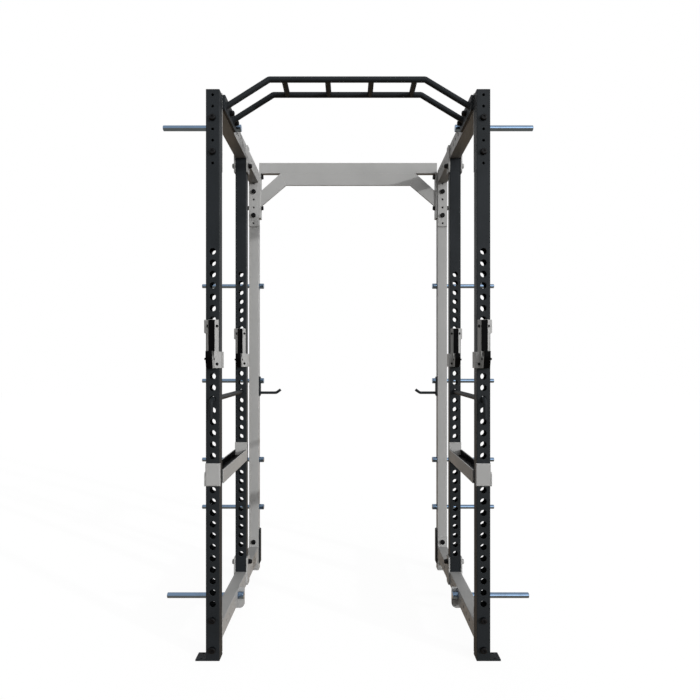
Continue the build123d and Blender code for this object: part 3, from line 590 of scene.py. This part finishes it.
@dataclass
class Welder:
    """Lays weld beads: rows of overlapping ripples, as a torch leaves them along a seam."""

    pitch: float = 0.003  # from ripple to ripple
    half_width: float = 0.0032
    ball_steps: int = 2  # how finely a ripple's ball is divided
    ripple_length: float = 0.8  # a ripple's length for its width
    flatness: float = 0.8  # a ripple's height for half its width
    merge_distance: float = 0.000032  # points nearer than this become one
    smooth_angle: float = math.radians(50)

    def __post_init__(self) -> None:
        """Models the one ripple that every bead is copied from."""
        bpy.ops.object.select_all(action="DESELECT")
        bpy.ops.mesh.primitive_ico_sphere_add(subdivisions=self.ball_steps, radius=self.half_width)
        self.ripple = bpy.context.object
        bpy.ops.object.mode_set(mode="EDIT")
        bpy.ops.mesh.select_all(action="SELECT")
        bpy.ops.mesh.bisect(plane_co=(0, 0, 0), plane_no=(0, 0, 1), clear_inner=True, use_fill=True)
        bpy.ops.mesh.select_all(action="SELECT")
        bpy.ops.mesh.remove_doubles(threshold=self.merge_distance)
        bpy.ops.transform.resize(value=(self.ripple_length, 1, self.flatness))
        bpy.ops.mesh.normals_make_consistent(inside=False)
        bpy.ops.object.mode_set(mode="OBJECT")
        bpy.ops.object.shade_smooth_by_angle(angle=self.smooth_angle)

    def close(self) -> None:
        """Puts the first ripple away."""
        bpy.data.objects.remove(self.ripple)

    def _copy(self) -> bpy.types.Object:
        """A copy of the ripple with its own mesh, selected alone."""
        bead = self.ripple.copy()
        bead.data = self.ripple.data.copy()
        bpy.context.scene.collection.objects.link(bead)
        bpy.ops.object.select_all(action="DESELECT")
        bead.select_set(True)
        bpy.context.view_layer.objects.active = bead
        return bead

    def _settle(self, bead: bpy.types.Object, place: Matrix) -> None:
        """Moves a bead to its place and puts the place into its mesh."""
        bead.matrix_world = place
        bpy.ops.object.transform_apply(location=True, rotation=True, scale=True)

    def run(self, start: Vector, end: Vector, out: Vector) -> bpy.types.Object:
        """Lays a straight bead.

        Args:
            start: Where the seam starts.
            end: Where it ends.
            out: The way that the bead faces.

        Returns:
            The bead.
        """
        bead = self._copy()
        length = (end - start).length
        count = round(length / self.pitch)
        row = bead.modifiers.new("row", "ARRAY")
        row.count = count
        row.use_relative_offset = False
        row.use_constant_offset = True
        row.constant_offset_displace = (length / count, 0, 0)
        bpy.ops.object.modifier_apply(modifier=row.name)
        along = (end - start).normalized()
        up = (out - along * out.dot(along)).normalized()
        turn = Matrix((along, up.cross(along), up)).transposed().to_4x4()
        self._settle(bead, Matrix.Translation(start + along * (length / count / 2)) @ turn)
        return bead

    def ring(self, centre: Vector, axis: Vector, radius: float, stretch: float = 1.0) -> bpy.types.Object:
        """Lays a bead round a bar where it meets a plate.

        Args:
            centre: The middle of the bar, on the plate.
            axis: The way that the plate faces.
            radius: The radius of the bar.
            stretch: How much taller than wide the ring is, for a bar that leaves at a slant.

        Returns:
            The bead.
        """
        bead = self._copy()
        lean = Matrix.Rotation(math.pi / 4, 4, "Y") @ Matrix.Rotation(math.pi / 2, 4, "Z")
        self._settle(bead, Matrix.Translation((radius, 0, 0)) @ lean)
        count = round(math.tau * radius / self.pitch)
        pivot = bpy.data.objects.new("pivot", None)
        pivot.rotation_euler = (0, 0, math.tau / count)
        bpy.context.scene.collection.objects.link(pivot)
        row = bead.modifiers.new("row", "ARRAY")
        row.count = count
        row.use_relative_offset = False
        row.use_object_offset = True
        row.offset_object = pivot
        bpy.context.view_layer.update()
        bpy.ops.object.modifier_apply(modifier=row.name)
        bpy.data.objects.remove(pivot)
        up = Vector((0, 0, 1))
        turn = Matrix((up, axis.cross(up), axis)).transposed().to_4x4()
        self._settle(bead, Matrix.Translation(centre) @ turn @ Matrix.Diagonal((stretch, 1, 1, 1)))
        return bead


@dataclass
class SubAssembly:
    """Pieces of the cage that are made and finished together."""

    shop: Paintshop
    welder: Welder

    def nodes(self) -> list[str]:
        """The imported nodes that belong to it."""
        raise NotImplementedError

    def welds(self) -> list[bpy.types.Object]:
        """Lays its weld beads, where it has any."""
        return []

    def body(self) -> str:
        """The body that it moves with."""
        return "frame"

    def label(self) -> str:
        """Its name in the names of new pieces."""
        return type(self).__name__.lower()

    @staticmethod
    def pair(node: str) -> list[str]:
        """The names of a node's left and right pieces."""
        return [f"{node}_{side.label}" for side in Side]

    def build(self) -> None:
        """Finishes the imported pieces, then lays the welds and finishes them like the first piece."""
        nodes = self.nodes()
        for name in nodes:
            self.shop.coat(name)
        beads = self.welds()
        if beads:
            self.join_welds(beads, self.shop.slots[nodes[0]])

    def join_welds(self, beads: list[bpy.types.Object], slot: Slot) -> None:
        """Makes all the beads one piece.

        Args:
            beads: The beads.
            slot: The slot of the finish that they take.
        """
        bpy.ops.object.select_all(action="DESELECT")
        for bead in beads:
            bead.select_set(True)
        bpy.context.view_layer.objects.active = beads[0]
        bpy.ops.object.join()
        piece = bpy.context.object
        piece.name = f"welds_{self.label()}"
        piece.data.name = piece.name
        piece.data.materials.append(self.shop.material(slot))
        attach(piece, self.body())
        log.info("%s: %d seams, %s", piece.name, len(beads), slot.value)


@dataclass
class Uprights(SubAssembly):
    """The six posts and the plugs in their tops."""

    def nodes(self) -> list[str]:
        """The posts and their caps."""
        posts = [name for place in ("front", "middle", "rear") for name in self.pair(f"{place}_upright")]
        return [*posts, "upright_caps"]


@dataclass
class Feet(SubAssembly):
    """The floor plates of the front or the rear posts, welded to them."""

    place: str = "front"
    ledge: int = 1  # the way along Y that the plate stands out past the post

    def nodes(self) -> list[str]:
        """Both floor plates."""
        return [f"{self.place}_feet"]

    def label(self) -> str:
        """Its name in the names of new pieces."""
        return f"{self.place}_feet"

    def welds(self) -> list[bpy.types.Object]:
        """Beads beside each post, on the ledges of its plate."""
        beads = []
        post = f"{self.place}_upright"
        for side in Side:
            low, high = side.of(post)
            x = side.outer_face(post)
            y = high.y if self.ledge > 0 else low.y
            outside = (Vector((x, low.y, low.z)), Vector((x, high.y, low.z)))
            across = (Vector((low.x, y, low.z)), Vector((high.x, y, low.z)))
            beads.append(self.welder.run(*outside, Vector((side.value, 0, 1))))
            beads.append(self.welder.run(*across, Vector((0, self.ledge, 1))))
        return beads


@dataclass
class SideBeams(SubAssembly):
    """The side beams of one level with the flanges that are welded to their ends."""

    level: str = "top"
    faces: tuple[int, ...] = (-1,)  # the faces, under and over, that the flanges stand out past
    inset: float = 0.004  # from the corners of the beam

    def nodes(self) -> list[str]:
        """Both beams and their flanges."""
        return [*self.pair(f"{self.level}_beam"), f"{self.level}_beam_flanges"]

    def label(self) -> str:
        """Its name in the names of new pieces."""
        return f"{self.level}_beams"

    def welds(self) -> list[bpy.types.Object]:
        """Beads across the ends of the beams."""
        beads = []
        for side in Side:
            low, high = side.of(f"{self.level}_beam")
            for y, inwards in ((low.y, 1), (high.y, -1)):
                for face in self.faces:
                    z = high.z if face > 0 else low.z
                    start = Vector((low.x + self.inset, y, z))
                    end = Vector((high.x - self.inset, y, z))
                    beads.append(self.welder.run(start, end, Vector((0, inwards, face))))
        return beads


@dataclass
class Gussets(SubAssembly):
    """The plates at the middle posts of one level, welded to the beam and bolted to the post."""

    level: str = "top"
    corner: float = 0.0165  # from the face of the beam past the plate's rounded corner

    def nodes(self) -> list[str]:
        """All four plates."""
        return [f"{self.level}_gussets"]

    def label(self) -> str:
        """Its name in the names of new pieces."""
        return f"{self.level}_gussets"

    def welds(self) -> list[bpy.types.Object]:
        """Beads up the upright edges of the plates, on the faces of the beam."""
        beads = []
        front, back = (corner.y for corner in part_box(self.nodes()[0]))
        for side in Side:
            low, high = side.of(f"{self.level}_beam")
            span = (low.z, high.z - self.corner) if self.level == "top" else (low.z + self.corner, high.z)
            for x, facing in ((low.x, -1), (high.x, 1)):
                for y, edge in ((front, -1), (back, 1)):
                    ends = [Vector((x, y, z)) for z in span]
                    beads.append(self.welder.run(*ends, Vector((facing, edge, 0))))
        return beads


@dataclass
class Crossmember(SubAssembly):
    """The rear crossmember: a tube with a blank panel, and struts welded to its bolted flanges."""

    strut_end: float = 0.098  # the height of a strut where it meets its flange
    stitch: float = 0.04  # the length of one stitch
    stitch_reach: float = 0.36  # from the middle to the last stitch
    stitch_count: int = 7

    def nodes(self) -> list[str]:
        """The tube, the panel, the struts and the flanges."""
        ends = [*self.pair("crossmember_strut"), *self.pair("crossmember_flange")]
        return ["crossmember_beam", "sign_panel", *ends]

    def flange_welds(self, side: Side) -> list[bpy.types.Object]:
        """Beads where the tube and the strut of one side meet its flange."""
        tube_low, tube_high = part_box("crossmember_beam")
        low, high = side.of("crossmember_strut")
        x = side.inner_face("crossmember_flange")
        under = [Vector((x, y, tube_low.z)) for y in (tube_low.y, tube_high.y)]
        beads = [self.welder.run(*under, Vector((-side.value, 0, -1)))]
        for y, facing in ((low.y, -1), (high.y, 1)):
            ends = [Vector((x, y, low.z + rise)) for rise in (0, self.strut_end)]
            beads.append(self.welder.run(*ends, Vector((-side.value, facing, 0))))
        return beads

    def panel_stitches(self) -> list[bpy.types.Object]:
        """Short beads behind the panel, under the tube."""
        beads = []
        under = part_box("crossmember_beam")[0].z
        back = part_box("sign_panel")[1].y
        gap = 2 * self.stitch_reach / (self.stitch_count - 1)
        for step in range(self.stitch_count):
            x = step * gap - self.stitch_reach
            ends = [Vector((x + way * self.stitch / 2, back, under)) for way in (-1, 1)]
            beads.append(self.welder.run(*ends, Vector((0, 1, -1))))
        return beads

    def welds(self) -> list[bpy.types.Object]:
        """The beads at both flanges and the stitches."""
        at_flanges = [bead for side in Side for bead in self.flange_welds(side)]
        return [*at_flanges, *self.panel_stitches()]


@dataclass
class PullupBar(SubAssembly):
    """The two long bars, the four short grips between them, and the flanges they are welded to."""

    bar_radius: float = 0.0135
    slant: float = 1.183  # how much taller than wide the cut end of a bar is

    def nodes(self) -> list[str]:
        """The bars, the grips and the flanges."""
        return ["pullup_front_bar", "pullup_rear_bar", "pullup_grips", *self.pair("pullup_flange")]

    def welds(self) -> list[bpy.types.Object]:
        """Beads round the four ends of the bars."""
        beads = []
        for side in Side:
            low, high = side.of("pullup_flange")
            x = side.inner_face("pullup_flange")
            for bar in ("pullup_front_bar", "pullup_rear_bar"):
                y = sum(corner.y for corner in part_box(bar)) / 2
                centre = Vector((x, y, (low.z + high.z) / 2))
                inwards = Vector((-side.value, 0, 0))
                beads.append(self.welder.ring(centre, inwards, self.bar_radius, self.slant))
        return beads


@dataclass
class StoragePegs(SubAssembly):
    """The chrome pegs through the rear posts and the side beams."""

    def nodes(self) -> list[str]:
        """All the pegs."""
        return [*self.pair("storage_pegs"), "beam_pegs"]


@dataclass
class PegBrackets(SubAssembly):
    """The ribs behind the heads of the lower pegs, welded round the bottom beams."""

    def nodes(self) -> list[str]:
        """Both ribs."""
        return ["peg_brackets"]

    def welds(self) -> list[bpy.types.Object]:
        """Beads behind each rib, up the inner face of the beam and along its underside."""
        beads = []
        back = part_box("peg_brackets")[1].y
        for side in Side:
            low, high = side.of("bottom_beam")
            x = side.inner_face("bottom_beam")
            upright = [Vector((x, back, z)) for z in (low.z, high.z)]
            under = [Vector((end, back, low.z)) for end in (low.x, high.x)]
            beads.append(self.welder.run(*upright, Vector((-side.value, 1, 0))))
            beads.append(self.welder.run(*under, Vector((0, 1, -1))))
        return beads


@dataclass
class AccessoryHooks(SubAssembly):
    """The plates under two peg heads, each with a rod welded into it."""

    plate_thickness: float = 0.008
    rod_radius: float = 0.0085
    rod_rise: float = 0.021  # above the lower end of the plate

    def nodes(self) -> list[str]:
        """Both hooks."""
        return self.pair("accessory_hook")

    def welds(self) -> list[bpy.types.Object]:
        """A bead round the root of each rod."""
        beads = []
        for side in Side:
            low, high = side.of("accessory_hook")
            x = side.outer_face("accessory_hook") - side.value * self.plate_thickness
            centre = Vector((x, (low.y + high.y) / 2, low.z + self.rod_rise))
            beads.append(self.welder.ring(centre, Vector((-side.value, 0, 0)), self.rod_radius))
        return beads


@dataclass
class GuardPlates(SubAssembly):
    """The black plates low on the inner faces of the rear posts."""

    def nodes(self) -> list[str]:
        """Both plates."""
        return ["guard_plates"]


@dataclass
class FrameBolts(SubAssembly):
    """The bolts of the frame with their nuts and washers."""

    def nodes(self) -> list[str]:
        """Every kind of bolt, then the nuts and the washers."""
        bolts = [f"{kind}_bolts" for kind in ("beam", "gusset", "crossmember", "pullup")]
        return [*bolts, "frame_nuts", "frame_washers"]


@dataclass
class JHook(SubAssembly):
    """One J-hook: flared steel with welded cheeks, a plastic liner and its screws."""

    place: str = "front"
    side: Side = Side.LEFT
    web_front: float = 0.018  # from the post to the front of the web
    web_half: float = 0.014  # half the width of the web
    cheek_height: float = 0.075
    bead_lean: float = 0.5  # how far the beads face to the front for each unit outwards

    def label(self) -> str:
        """Its name in the names of its nodes."""
        return f"{self.place}_jhook_{self.side.label}"

    def nodes(self) -> list[str]:
        """The steel, the liner and the screws."""
        return [self.label(), f"{self.label()}_liner", f"{self.label()}_screws"]

    def body(self) -> str:
        """The hook turns by itself."""
        return f"{self.label()}_assembly"

    def welds(self) -> list[bpy.types.Object]:
        """Beads up the outside of both cheeks, in the corner of the flare."""
        low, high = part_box(self.label())
        middle = (low.x + high.x) / 2
        y = self.side.of(f"{self.place}_upright")[0].y - self.web_front
        beads = []
        for way in (-1, 1):
            x = middle + way * self.web_half
            ends = [Vector((x, y, low.z + rise)) for rise in (0, self.cheek_height)]
            beads.append(self.welder.run(*ends, Vector((way, -self.bead_lean, 0))))
        return beads


@dataclass
class SafetyArm(SubAssembly):
    """One safety arm: a steel channel between the posts, with its plastic lining."""

    side: Side = Side.LEFT

    def nodes(self) -> list[str]:
        """The channel and its lining."""
        return [f"safety_arm_{self.side.label}", f"safety_arm_liner_{self.side.label}"]


@dataclass
class SafetyRod(SubAssembly):
    """One safety rod with the handle that is welded to its front end."""

    side: Side = Side.LEFT
    rod_radius: float = 0.012
    handle_radius: float = 0.009
    nose: float = 0.006  # past the front of the front post

    def label(self) -> str:
        """Its name in the names of its nodes."""
        return f"safety_rod_{self.side.label}"

    def nodes(self) -> list[str]:
        """The rod."""
        return [self.label()]

    def body(self) -> str:
        """The rod slides by itself."""
        return f"{self.label()}_assembly"

    def welds(self) -> list[bpy.types.Object]:
        """A bead round the root of the handle."""
        low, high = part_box(self.label())
        nose = self.side.of("front_upright")[0].y - self.nose
        centre = Vector(((low.x + high.x) / 2, nose, high.z - self.rod_radius))
        return [self.welder.ring(centre, Vector((0, -1, 0)), self.handle_radius)]


@dataclass(frozen=True)
class Lamp:
    """A lamp so far off that it lights every piece from the same way."""

    name: str
    energy: float  # its strength on a surface that faces it
    towards: tuple[float, float, float]  # the way from the cage to the lamp
    softness: float  # the angle that it takes up, in radians
    glare: bool = True  # whether glossy surfaces show it

    def hang(self) -> None:
        """Hangs the lamp in the scene."""
        light = bpy.data.lights.new(self.name, "SUN")
        light.energy = self.energy
        light.angle = self.softness
        holder = bpy.data.objects.new(self.name, light)
        holder.rotation_euler = Vector(self.towards).to_track_quat("Z", "Y").to_euler()
        holder.visible_glossy = self.glare
        bpy.context.scene.collection.objects.link(holder)

    def on_floor(self) -> float:
        """How bright the lamp makes a white floor."""
        return self.energy / math.pi * Vector(self.towards).normalized().z


@dataclass
class Studio:
    """A white room with a key lamp and a wide fill in front, to the right, and a lamp behind the cage."""

    floor_size: float = 40.0
    floor_drop: float = 0.0006  # below the feet
    floor_tone: Colour = (0.11, 0.1, 0.085, 1.0)  # the floor as it lights the cage from below
    mirror_tone: Colour = (0.56, 0.42, 0.29, 1.0)  # the floor as the chrome shows it
    shadow_tone: Colour = (0.9, 0.9, 0.9, 1.0)
    shadow_share: float = 0.14  # how much of the floor that the camera sees is lit by the lamps
    white: Colour = (1.0, 1.0, 1.0, 1.0)
    sky: float = 0.32  # the even light of the room
    key: Lamp = Lamp("key", energy=1.55, towards=(1.2, -1.0, 0.353), softness=math.radians(1.5))
    fill: Lamp = Lamp("fill", energy=1.78, towards=(0.5, -1.0, 0.2), softness=math.radians(60))
    back: Lamp = Lamp(
        "back", energy=1.0, towards=(0.0, 1.0, 0.12), softness=math.radians(20), glare=False
    )

    def lamps(self) -> tuple[Lamp, ...]:
        """The three lamps."""
        return self.key, self.fill, self.back

    def light_world(self) -> None:
        """Fills the room with even light, and shows it white to the camera and in reflections."""
        world = bpy.data.worlds.new("white_room")
        world.use_nodes = True
        shader = Shader(world.node_tree)
        seen = shader.ray(Ray.CAMERA) | shader.ray(Ray.GLOSSY) | shader.ray(Ray.TRANSMISSION)
        strength = self.sky + (1 - self.sky) * seen
        glow = shader.node("ShaderNodeBackground", {}, {"Color": self.white, "Strength": strength})
        shader.node("ShaderNodeOutputWorld", {}, {"Surface": shader.out(glow, 0)})
        bpy.context.scene.world = world

    def floor_material(self) -> bpy.types.Material:
        """A floor that looks white and keeps a faint shadow."""
        material, shader = new_material("white_floor")
        lit = self.sky + sum(lamp.on_floor() for lamp in self.lamps())
        plain = (1 - self.shadow_share * self.shadow_tone[0] * lit) / (1 - self.shadow_share)
        glow = shader.glow({"Strength": plain})
        shown = shader.blend(self.shadow_share, glow, shader.matt(self.shadow_tone))
        mirrored = shader.glow({"Color": self.mirror_tone})
        hidden = shader.blend(shader.ray(Ray.GLOSSY), shader.matt(self.floor_tone), mirrored)
        shader.end(shader.blend(shader.ray(Ray.CAMERA), hidden, shown))
        return material

    def lay_floor(self) -> None:
        """Lays the floor just under the feet."""
        bpy.ops.object.select_all(action="DESELECT")
        bpy.ops.mesh.primitive_plane_add(size=self.floor_size, location=(0, 0, -self.floor_drop))
        floor = bpy.context.object
        floor.name = "floor"
        floor.data.materials.append(self.floor_material())

    def build(self) -> None:
        """Lights and floors the room."""
        self.light_world()
        for lamp in self.lamps():
            lamp.hang()
        self.lay_floor()
        bpy.context.scene.view_settings.view_transform = "Standard"
        log.info("studio: %d lamps", len(self.lamps()))


@dataclass
class PortraitCamera:
    """The photograph's camera: level, square to the front, with the cage a little off its axis."""

    distance: float = 2.662  # in front of the front posts
    height: float = 1.314
    view_angle: float = math.radians(60)
    frame_pixels: float = 700.0
    axis_column: float = 348.08  # the pixel column and row that the lens looks at
    axis_row: float = 361.87

    def build(self) -> None:
        """Sets the camera up and makes it the scene's."""
        lens = bpy.data.cameras.new("portrait")
        lens.angle = self.view_angle
        middle = self.frame_pixels / 2
        lens.shift_x = (middle - self.axis_column) / self.frame_pixels
        lens.shift_y = (self.axis_row - middle) / self.frame_pixels
        camera = bpy.data.objects.new("portrait", lens)
        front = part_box("front_upright_left")[0].y
        camera.location = (0, front - self.distance, self.height)
        camera.rotation_euler = (math.pi / 2, 0, 0)
        bpy.context.scene.collection.objects.link(camera)
        bpy.context.scene.camera = camera
        log.info("camera")


def main() -> None:
    """Builds the studio, the camera and every sub-assembly."""
    logging.basicConfig(level=logging.INFO, format="%(name)s: %(message)s")
    PortraitCamera().build()
    Studio().build()
    shop = Paintshop()
    welder = Welder()
    tools = (shop, welder)
    pieces: list[SubAssembly] = [
        Uprights(*tools),
        Feet(*tools),
        Feet(*tools, place="rear", ledge=-1),
        SideBeams(*tools),
        SideBeams(*tools, level="bottom", faces=(-1, 1)),
        Gussets(*tools),
        Gussets(*tools, level="bottom"),
        Crossmember(*tools),
        PullupBar(*tools),
        StoragePegs(*tools),
        PegBrackets(*tools),
        AccessoryHooks(*tools),
        GuardPlates(*tools),
        FrameBolts(*tools),
    ]
    for side in Side:
        pieces += [JHook(*tools, place=place, side=side) for place in ("front", "middle")]
        pieces += [SafetyArm(*tools, side=side), SafetyRod(*tools, side=side)]
    for piece in pieces:
        piece.build()
    welder.close()


if __name__ == "__main__":
    main()
